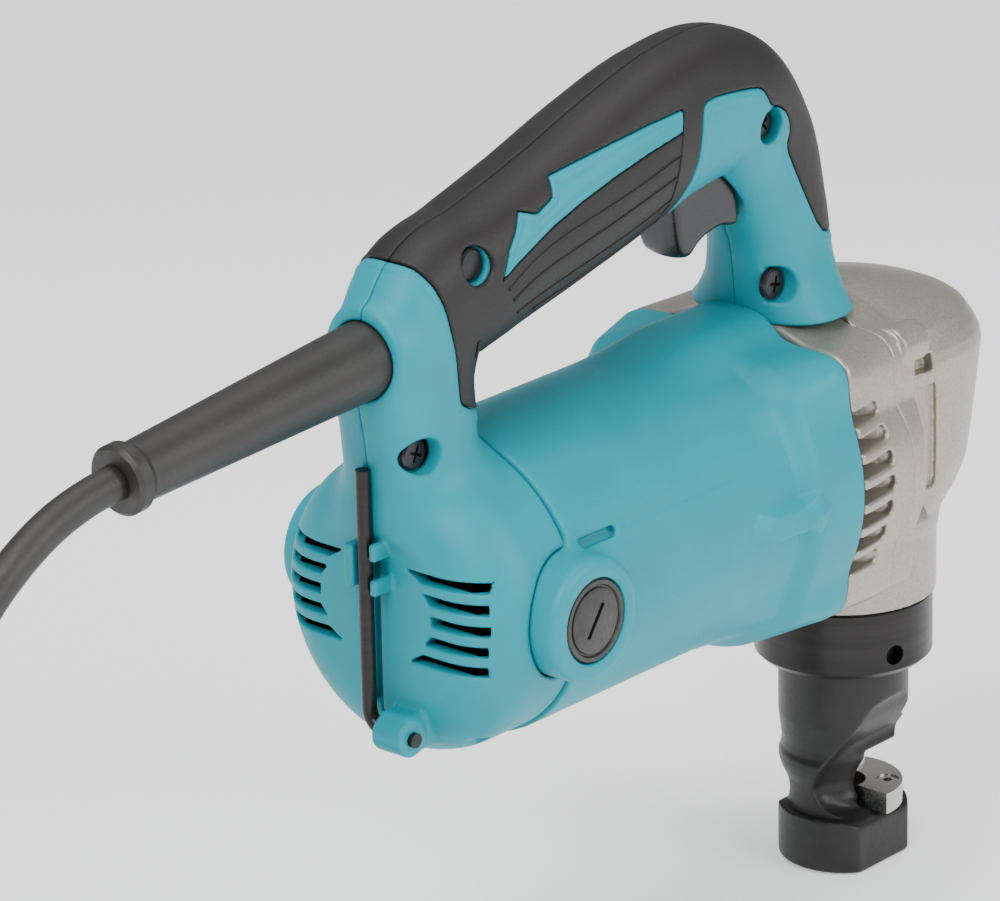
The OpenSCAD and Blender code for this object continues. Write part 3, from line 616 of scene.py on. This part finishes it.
G_BLACK, G_STRIPE = (outline_sdf(*np.meshgrid(gx, gz, indexing="ij"), pts) for pts in (BLACK, STRIPE))
G_MASK = np.maximum(G_BLACK, -G_STRIPE)    # negative where the rubber is

# x, z of each handle screw, and half the width of the handle there
SCREWS = [(-180.2, 168.9, 12.4), (-160.5, 212.2, 14.5), (-48.6, 220.7, 14.2), (-42.8, 176.2, 13.4)]
LOCK = (-107.0, 212.0)                     # x, z of the lock button
LEAD_Z = 192.7                             # height of the cord's exit
KEY = (-188.2, 98.0)                       # x, z of the hex key's foot
SPLIT = 0.07                               # half of the gap between the two halves
SEAT = 165.65                              # height of the flat that the grip's foot stands on
MIDDLE_X = -120                            # behind this the handle is one with the rear cover


def grip_cuts(d, x, y, z, side):
    """Screw recesses, trigger opening and lock button hole, shared by the shell and the rubber."""
    if side < 0:
        for sx, sz, yh in SCREWS:
            d = smax(d, -smax(np.hypot(x - sx, z - sz) - 4.7, y + yh - 4.3, 0.3), 0.9)
    d = smax(d, -box_sdf(x, y, z, (-79.4, -7.7, 180), (-50.2, 7.7, 218), 2.5), 0.8)
    if side > 0:
        d = smax(d, -smax(np.hypot(x - LOCK[0], z - LOCK[1]) - 4.75, 9 - y, 0.3), 0.7)
    return d


def cover_field(x, y, z):
    """Rear cover: a cup of radius 38.7 that ends at x = -183.5, its edge rounded to 16."""
    edge = 16.0
    qx, qr = (-183.5 + edge) - x, np.hypot(y, z - MZ) - (38.7 - edge)
    outside = np.sqrt(np.maximum(qx, 0) ** 2 + np.maximum(qr, 0) ** 2)
    return outside + np.minimum(np.maximum(qx, qr), 0) - edge


def vents(x, y, z, side):
    """Rear air slots: slanted inner ends that make an arrow, outer ends on the round edge."""
    d = np.full(np.shape(x), FAR_AWAY)
    ay = np.abs(y)
    for i, y0 in enumerate((11.3, 15.2, 16.4, 14.9, 10.8)):
        zc = 117.2 + 5.35 * i
        lean = (i - 2) * -0.85
        y0 = y0 + (3.6 if side > 0 else 0)
        q = np.maximum(np.abs(z - zc) - 1.35, y0 + lean * (z - zc) - ay)
        q = np.maximum(q, np.maximum(x + 170.0, ay - 32.6 + 0.5 * np.abs(i - 2)))
        d = np.minimum(d, q)
    return d


def handle_field(side):
    """Teal half of the handle, with its half of the rear cover; side is -1 (right) or 1 (left)."""
    def field(x, y, z):
        g = grip_field(x, y, z)
        # groove round the rubber, and a bead round the teal bar
        g = g - 0.22 * np.exp(-((sample(G_BLACK, x, z) - 1.9) / 0.5) ** 2)
        g = g + 0.25 * np.exp(-((sample(G_STRIPE, x, z) + 1.7) / 0.45) ** 2)
        # under the rubber the shell is lower by the rubber's thickness
        bare = np.minimum(g + SKIN + 0.1, SKIN_GAP - sample(G_MASK, x, z))
        g = np.where(z > 172, smax(g, bare, 0.5), g)
        d = cover_field(x, y, z)
        d = smin(d, np.where(x < MIDDLE_X, smax(g, 147 - z, 3.0), FAR_AWAY), 7.0)
        front = np.where(x > MIDDLE_X, g, FAR_AWAY)
        d = np.minimum(d, front)
        # ring round the cord
        q = np.hypot(y, z - LEAD_Z)
        d = smin(d, smax(q - 13.0, np.maximum(-187.0 - x, x + 165), 2.2), 3.0)
        d = smax(d, -smax(q - 9.85, x + 174, 0.3), 0.8)
        # tube for the foot of the hex key, and the flat rib above it
        d = smin(d, smax(np.hypot(x - KEY[0], z - KEY[1]) - 4.7, np.abs(y + 9.2) - 4.8, 1.0), 1.6)
        d = smin(d, box_sdf(x, y, z, (KEY[0] - 1, -13.6, 93.5), (-176, -4.6, 103.6), 1.2), 1.5)
        # cheeks of the clip that holds the hex key
        for y0, y1, z0, z1, x0 in ((2.4, 5.4, 134.5, 145.5, -190.4), (-4.6, -2.6, 142.2, 146.8, -190),
                                   (-4.6, -2.6, 133.2, 137.4, -190)):
            d = smin(d, box_sdf(x, y, z, (x0, y0, z0), (-181, y1, z1), 0.7), 0.8)
        # front edge of the rear cover, and room for the bosses of the brush caps
        d = smax(d, x + 153.62 - 6 * np.maximum(0, z - 180), 0.8)
        d = np.where(x > MIDDLE_X, front, d)
        d = smax(d, -smax(np.hypot(x - BRUSH[0], z - BRUSH[1]) - 16.45, 20 - np.abs(y), 0.3), 0.8)
        # channel behind the hex key, pockets at the bottom, air slots
        if side > 0:
            d = smax(d, -box_sdf(x, y, z, (-200, -1, 103), (-181.2, 1.9, 149), 0.8), 0.6)
        d = smax(d, -smax(np.hypot(y + 22, z - 92.2) - 3.2, x + 170, 0.5), 0.7)
        d = smax(d, -vents(x, y, z, side), 0.5)
        d = grip_cuts(d, x, y, z, side)
        # the foot of the grip is flat; the rear leg goes on down into the cover
        d = smax(d, SEAT - z - 400 * (x < MIDDLE_X), 0.7)
        return smax(d, SPLIT - side * y, 0.5)
    return field


def skin_field(side):
    """Rubber on one half of the grip."""
    def field(x, y, z):
        g = grip_field(x, y, z)
        # lip along the rear edge of the rubber
        lipped = g - 0.2 * np.exp(-((sample(G_BLACK, x, z) + 0.75) / 0.35) ** 2) * (x < -150)
        d = smax(lipped, -(g + SKIN), 0.4)
        d = smax(d, sample(G_MASK, x, z) + SKIN_GAP, 0.75)
        d = smax(d, 173.5 - z, 0.5)
        d = smax(d, -smax(np.hypot(y, z - LEAD_Z) - 13.6, x + 160, 0.3), 0.5)
        d = grip_cuts(d, x, y, z, side)
        return smax(d, SPLIT - side * y, 0.6)
    return field


def grip_hollow(inset):
    """Cutter along the middle line of the grip, inset from its surface."""
    rings = []
    L = grip_line[::6]
    for i, c in enumerate(L):
        d = L[min(i + 1, len(L) - 1)] - L[max(i - 1, 0)]
        d = d[:2] / np.hypot(*d[:2])
        nrm = (-d[1], d[0])
        ring = []
        for t in np.linspace(0, 2 * math.pi, 24, endpoint=False):
            s, k = math.sin(t), math.cos(t)
            n = (c[2] - inset) * math.copysign(abs(s) ** 0.8, s)
            y = (c[3] - inset) * math.copysign(abs(k) ** 0.8, k)
            ring.append((c[0] + n * nrm[0], y, c[1] + n * nrm[1]))
        rings.append(ring)
    return loft(rings)


SIDES = ((-1, "right"), (1, "left"))
for side, tag in SIDES:
    ylo, yhi = (-46, 1) if side < 0 else (-1, 46)
    o = shell("handle_%s.shell" % tag, handle_field(side), (-193, ylo, 82), (-16, yhi, 250), STEP_LARGE,
              "teal_plastic", keep=0.75)
    cut(o, *grip_hollow(SKIN + 2.9))
    cut(o, *turned([(36.4, -150), (36.4, -172), (30, -180.3), (0.01, -180.3)], "x", (0, 0, MZ), 64))
    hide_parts("handle_%s" % tag)
    o = shell("grip_skin_%s.rubber" % tag, skin_field(side), (-182, ylo, 172), (-16, yhi, 251),
              STEP_LARGE - 0.08, "black_elastomer")
    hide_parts("grip_skin_%s" % tag)


def on_grip(x, z, side, lift=0.0):
    """Point over x, z that stands lift above the grip's side surface."""
    lo, hi = 3.0, 30.0
    for _ in range(30):
        mid = (lo + hi) / 2
        if grip_field(np.array([x]), np.array([mid * side]), np.array([z]))[0] > lift:
            hi = mid
        else:
            lo = mid
    return (x, side * lo, z)


# fine raised lines on the rubber, and the one that closes their front ends
RIBS = [[(-151.6, 204.3), (-143, 209.1), (-132.3, 212.7), (-119.2, 215.4), (-104.5, 218.2),
         (-87.4, 222.3)],
        [(-149.9, 201.2), (-140.3, 205.4), (-126.8, 208.7), (-112.9, 211.6), (-98.6, 214.8),
         (-88.3, 217.1)],
        [(-147.8, 197.4), (-136.3, 200.6), (-119.8, 204), (-102.1, 207.6), (-89.2, 211.3)],
        [(-141, 196.4), (-124, 199.4), (-108, 202.6), (-93.2, 206.2)]]
EDGE = [(-84.1, 233), (-85.6, 227.9), (-86.6, 222.8), (-88.1, 216.2), (-89.4, 210.7), (-92.6, 205.8)]
for side, tag in SIDES:
    parts = []
    for line, radius in [(line, 0.42) for line in RIBS] + [(EDGE, 0.3)]:
        path = smooth_path([on_grip(x, z, side) for x, z in line], 7)
        path = np.array([on_grip(p[0], p[2], side, 0.04) for p in path])
        parts.append(sweep(path, radius, 8, up=(0.3, 1, 0.2)))
    piece("grip_ribs_%s" % tag, *joined(*parts), "black_elastomer")


# ---------------------------------------------------------------- brush caps and handle screws
def spun(profile, at, side, n=72):
    """Turned piece along Y on that side, measured outwards from the middle plane."""
    v, f = turned(profile, "y", (0, 0, 0), n)
    return [(p[0] + at[0], side * p[1], p[2] + at[1]) for p in v], \
        [q[::-1] for q in f] if side < 0 else f


def bar(at, y0, y1, half, tilt, side):
    """Rectangular cutter along Y: half = half length and half width, turned by tilt."""
    c, t = math.cos(tilt), math.sin(tilt)
    v = []
    for a in (-half[0], half[0]):
        for y in (y0, y1):
            for b in (-half[1], half[1]):
                v.append((at[0] + a * t + b * c, side * y, at[1] + a * c - b * t))
    return v, BOX_FACES


# outline of a brush cap: radius, and distance from the middle plane
CAP = [(0.01, 39.3), (CAP_R, 39.3), (CAP_R, 44.5), (CAP_R - 0.5, 45.1), (CAP_R - 1.5, 45.1),
       (CAP_R - 1.9, 44.5), (8.5, 44.45), (8.3, 44.9), (7.9, 45.05), (0.01, 45.05)]
SHARP = 0.5                                # edges sharper than this, in radians, once cut
for side, tag in SIDES:
    o = piece("brush_cap.%s" % tag, *spun(CAP, BRUSH, side), "worn_black", slot="black_plastic", angle=30)
    cut(o, *bar(BRUSH, 43.4, 47, (4.9, 0.62), 0.62, side))
    o.data.set_sharp_from_angle(angle=SHARP)
    if side < 0:
        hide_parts("brush_caps")
for k, (sx, sz, yh) in enumerate(SCREWS):
    top = yh - 2.2
    prof = [(0.01, yh - 8), (2.0, yh - 8), (2.0, top - 2.1), (4.1, top - 2.1), (4.1, top - 0.7),
            (3.6, top - 0.15), (2.2, top), (0.01, top)]
    o = piece("handle_screw.%d" % k, *spun(prof, (sx, sz), -1, 40), "black_screw", angle=30)
    for t in (0.4 + k, 0.4 + k + math.pi / 2):
        cut(o, *bar((sx, sz), top - 1.3, top + 1, (2.2, 0.42), t, -1))
    o.data.set_sharp_from_angle(angle=SHARP)
    if k == 0:
        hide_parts("handle_screws")

# ---------------------------------------------------------------- gear head
# height and radius of the domed head
SIL = np.array([(78, 25.02), (97.5, 25.02), (102.4, 26.0), (108, 28.9), (115.1, 31.3), (122.6, 32.3),
                (136, 33.7), (147.9, 34.7), (151, 34.1), (153.8, 33.0), (157.3, 31.0), (158.9, 29.0),
                (159.8, 27.0), (160.8, 24.0), (162, 20.0), (163.7, 14.0), (165.2, 8.0), (166.6, 0.0)])


def casting_section(x, y, z):
    """Rounded square section behind the gear head."""
    r, phi = polar(x, y, z)
    R = front_radius(phi)
    flat = np.interp(phi, ANGLE, BOX_R)
    t = step(x, -44, -27)
    return (r - (R * (1 - t) + flat * t)) * 0.96


def louvres(x, y, z):
    """Seven outlet slots on each side, deep at the back and shallow at the rounded front end."""
    d = np.full(np.shape(x), FAR_AWAY)
    ay = np.abs(y)
    for i, x1 in enumerate((-32.6, -31.2, -30.0, -29.4, -29.9, -31, -32.6)):
        zc = 104.9 + 6.75 * i
        q = np.hypot(np.maximum(0, x - x1 + 2.0), z - zc) - 2.0
        q = np.maximum(q, 31.0 + 0.9 * np.maximum(0, x + 38) - ay)
        d = np.minimum(d, q)
    return d


def seam_at(y, z):
    """Parting line between the bearing box and the head, bulged forward at mid-height."""
    return -24.6 + 3.2 * np.exp(-((z - 124) / 17.0) ** 4) * step(np.abs(y), 16, 26)


def bearing_field(x, y, z):
    """Bearing box: the short casting between the motor housing and the head."""
    d = casting_section(x, y, z)
    d = smax(d, x - seam_at(y, z), 0.8)
    d = smax(d, -44.88 - x, 0.9)
    d = smax(d, -louvres(x, y, z), 0.7)
    # flat under the grip's foot, and room for the neck of the head
    d = smax(d, z - (SEAT - 0.1) - FAR_AWAY * (np.abs(y) > 24.4) * (x < 0), 0.4)
    return smax(d, -(np.hypot(x, y) - 25.35), 0.5)


def head_field(x, y, z):
    """Gear head: the dome over the punch, its flange and the neck that carries the die holder."""
    # domed head: its plan is between a circle and a square
    R = np.interp(z, SIL[:, 0], SIL[:, 1])
    ay = np.abs(y)
    px = x - np.interp(z, [97, 112, 150, 167], [0, 1.2, 1.8, 0])
    p = np.interp(z, [98, 115, 150, 162], [2.0, 2.4, 2.4, 2.1])
    rr = (np.abs(px) ** p + ay ** p + 1e-9) ** (1 / p)
    k = np.interp(z, [98, 115, 150, 162], [1.0, 0.965, 0.965, 0.99])
    d = np.maximum((rr - R * k) * 0.62, z - 166.6)
    d = smax(d, 97 - z, 0.2)
    # saddle that carries the foot of the grip
    sad = smax(np.hypot(np.maximum(0, ay - 14), np.maximum(0, z - 156)) - 10.0, x + 12.5, 2.0)
    d = smin(d, smax(sad, 140 - z, 2.0), 5.0)
    # flange behind the head
    flange = smax(casting_section(np.full(np.shape(x), -24.0), y, z) + 0.5, x + 15.2, 1.2)
    # sunken panel and a small pocket, both following the dome
    panel = np.maximum(np.maximum(z - 142.4 - 0.08 * (x + 12), 112.5 - z),
                       np.maximum(-13.0 + 0.13 * (142 - z) - x, x + 2.6 - 0.14 * (142 - z)))
    pocket = np.maximum(np.maximum(z - 152.2 + 0.1 * (x + 12), 147.0 - z),
                        np.maximum(-12.2 - x, x + 4.2))
    d = smax(d, -np.maximum(panel, -(d + 0.9)), 0.5)
    d = smax(d, -np.maximum(pocket, -(d + 2.1)), 0.5)
    # corner bosses of the flange, above and below, then the parting line, the flat and the neck
    for yb, zb, xb in ((30.6, 156.5, -9.5), (25.6, 103.5, -2.5)):
        bs = smax(np.hypot(ay - yb, z - zb) - 5.6, x - xb, 1.2)
        d = smin(d, np.maximum(bs, -20 - x), 1.2)
    d = smin(d, flange, 0.9)
    d = smax(d, seam_at(y, z) + 0.22 - x, 0.6)
    d = smax(d, -box_sdf(x, y, z, (-60, -24.6, SEAT - 0.2), (-14.4, 24.6, 190), 0.4), 0.4)
    neck = np.maximum(np.hypot(x, y) - 25.0, np.maximum(78.15 - z, z - 112))
    d = smin(d, neck, 1.5)
    return smax(d, 78.15 - z, 0.5)


def bores(target, bored):
    """Bores along X: radius, from, to, height of the axis, sides."""
    for radius, x0, x1, height, n in bored:
        cut(target, *turned([(radius, x0), (radius, x1)], "x", (0, 0, height), n))


o = shell("bearing_box.shell", bearing_field, (-47, -46, 76), (-17, 46, 171), STEP_LARGE, "silver_casting")
bores(o, ((33.5, -50, -37, MZ, 64), (18.4, -38, -10, MZ, 48), (18.4, -36.4, -10, SHAFT_Z, 48),
          (12.2, -60, -30, MZ, 40), (6.7, -42.6, -30, SHAFT_Z, 32)))
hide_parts("bearing_box")
o = shell("gear_housing.shell", head_field, (-27, -42, 76), (40, 42, 172), STEP_LARGE, "silver_casting",
          keep=0.9)
bores(o, ((18.3, -40, -16.7, MZ, 48), (18.3, -40, -16.7, SHAFT_Z, 48), (12.1, -30, -9, MZ, 48),
          (6.6, -30, -10, SHAFT_Z, 48), (11.1, 8, 16.2, MZ, 48)))
cut(o, *block((-9, -18, 97.7), (9, 18, 151)))              # room for the crank and the rod
cut(o, *turned([(16.5, 60), (16.5, 98.3)], "z", n=64))     # bore of the plunger's sleeve
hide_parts("gear_housing")

# ---------------------------------------------------------------- trigger and die holder
TRIGGER = rounded([(-78.2, 211), (-76.9, 199.5), (-75.0, 191.4), (-71.4, 190.0), (-68.4, 192.9),
                   (-64, 194.6), (-58.5, 195.3), (-54.6, 194.0), (-51.8, 194.3), (-52.4, 200),
                   (-54.6, 211)], 2)


def trigger_field(x, y, z):
    """Finger lever: the outline, crowned across its width."""
    crown = 1.3 * (1 - (y / 7) ** 2) * step(-x, 56, 72)
    return smax(outline_sdf(x, z + crown, TRIGGER) * 0.9, np.abs(y) - 7.0, 1.5)


o = shell("trigger.finger_lever", trigger_field, (-80, -9, 187), (-49, 9, 213), STEP_SMALL, "gloss_black",
          "trigger_body", "black_plastic")
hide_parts("trigger")

# height and radius of the die holder
HOLDER_R = [(0, 17.7), (15, 17.7), (15.05, 15.2), (20.4, 15.2), (23.5, 15.6), (26.3, 16.9), (28.6, 17.55),
            (30.6, 17.55), (32.2, 16.9), (34.4, 16.7), (42, 17.6), (61.9, 17.7), (62.0, 20.5), (66.6, 20.5)]
# half width of the holder by height: the scoop on the camera's side is deep, the far one shallow
SCOOP = [(0, 14.0), (14.0, 14.0), (15, 10.6), (16.2, 6.6), (18, 3.6), (20.5, 2.0), (23, 1.8), (27, 3.4),
         (31.2, 5.9), (35.9, 9.1), (40, 12.0), (43.9, 14.2), (47.5, 15.4), (50.5, 18.0), (54, 24), (70, 40)]
FAR_SCOOP = [(0, 14.0), (14.4, 14.0), (15.6, 11.6), (18, 9.4), (22, 8.8), (25, 10.4), (28, 13.2),
             (31, 15.5), (36, 17.5), (44, 20), (70, 40)]
HEIGHT = np.arange(0, 70.2, 0.2)


def rounded_off(table):
    """Table over HEIGHT with its corners rounded off."""
    return blurred(np.interp(HEIGHT, *np.array(table).T), 5, "edge")


NEAR, FAR = rounded_off(SCOOP), rounded_off(FAR_SCOOP)


def holder_field(x, y, z):
    """Die holder: a turned socket above, a waist cut by two scoops, and the foot with the die."""
    r = np.hypot(x, y)
    R = np.interp(z, *np.array(HOLDER_R).T)
    # brow over the throat
    front = step(x, 2, 9) * (z > 31) * (z < 44)
    R = R - front * np.interp(z, [31, 38.2, 39.3, 44], [2.9, 0.5, 1.5, 0.0])
    d = smax(r - R, -z, 1.1)
    d = smax(d, z - 66.6, 0.4)
    # scoops on both sides, which leave the neck
    low = step(z, 15.5, 19) * (1 - step(z, 30, 36))
    near = np.interp(z, HEIGHT, NEAR) + 4.2 * step(x, -13, -4) * low
    far = np.interp(z, HEIGHT, FAR) - 2.4 * step(x, -13, -4) * low
    d = smax(d, np.maximum(-y - near, y - far) * np.interp(z, [0, 14, 15, 60], [1, 1, 0.7, 0.7]), 0.5)
    # open throat in front of the neck
    throat = box_sdf(x, y, z, (-2.9, -30, 15.02), (40, 30, 31.9), 1.2)
    d = smax(d, -np.minimum(throat, box_sdf(x, y, z, (-2.0, -30, 15.0), (40, 30, 19), 0.1)), 0.5)
    # drain notch in the foot below the die
    d = smax(d, -np.maximum(np.hypot(x - 5.2, z - 15) - 1.7, 10 - np.abs(y)), 0.3)
    return smax(d, 6.15 - r, 0.3)


o = shell("die_holder.forging", holder_field, (-22, -22, -1), (22, 22, 68), STEP_SMALL, "forged_black",
          "die_group", "blackened_steel")
cut(o, *turned([(16.0, 59.0), (16.0, 69)], n=64))          # socket in the top
for side in (-1, 1):                                       # bores of the die's two screws
    cut(o, *turned([(1.65, 4), (1.65, 18)], at=(7.4, 9.6 * side, 0), n=24))
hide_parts("die_holder")

# ---------------------------------------------------------------- finish of the carried-over nodes
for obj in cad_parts.values():
    for slot in obj.material_slots:
        plain = slot.material.name.split(".")[0] if slot.material else ""
        if plain in MAT:
            slot.material = MAT[plain]

# ---------------------------------------------------------------- stage
FLOOR_Z = -0.0005                          # m, just under the object
corners = [(-3, -3, FLOOR_Z), (3, -3, FLOOR_Z), (3, 3, FLOOR_Z), (-3, 3, FLOOR_Z)]
floor = piece("floor", corners, [(0, 1, 2, 3)], "white_board", scale=1.0)
floor.parent = None
paper = bpy.data.materials.new("paper")
paper.use_nodes = True
for socket, value in (("Base Color", (0.93, 0.93, 0.93, 1)), ("Roughness", 0.9),
                      ("Emission Color", (1, 1, 1, 1)), ("Emission Strength", 0.5)):
    paper.node_tree.nodes["Principled BSDF"].inputs[socket].default_value = value
floor.data.materials[0] = paper
world = bpy.data.worlds.new("studio")
bpy.context.scene.world = world
world.use_nodes = True
sky = world.node_tree.nodes["Background"]
sky.inputs["Color"].default_value = (0.95, 0.97, 1.0, 1)
sky.inputs["Strength"].default_value = 0.42


def area(name, loc, target, size, power):
    """Rectangular lamp at loc that points at target, in m and W."""
    d = bpy.data.lights.new(name, "AREA")
    d.energy = power
    d.shape = "RECTANGLE"
    d.size, d.size_y = size
    o = bpy.data.objects.new(name, d)
    o.location = loc
    o.rotation_euler = (Vector(target) - Vector(loc)).to_track_quat("-Z", "Y").to_euler()
    bpy.context.scene.collection.objects.link(o)


area("key", (-1.1, -0.2, 1.2), (-0.12, 0, 0.13), (0.9, 0.9), 22)
area("fill", (0.2, -1.3, 0.8), (-0.08, 0, 0.14), (1.0, 0.8), 15)
area("top", (0.0, 0.2, 1.5), (-0.1, 0, 0.15), (1.2, 1.0), 10)

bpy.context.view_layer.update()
tuple(c * MM for c in ROUTE[0])
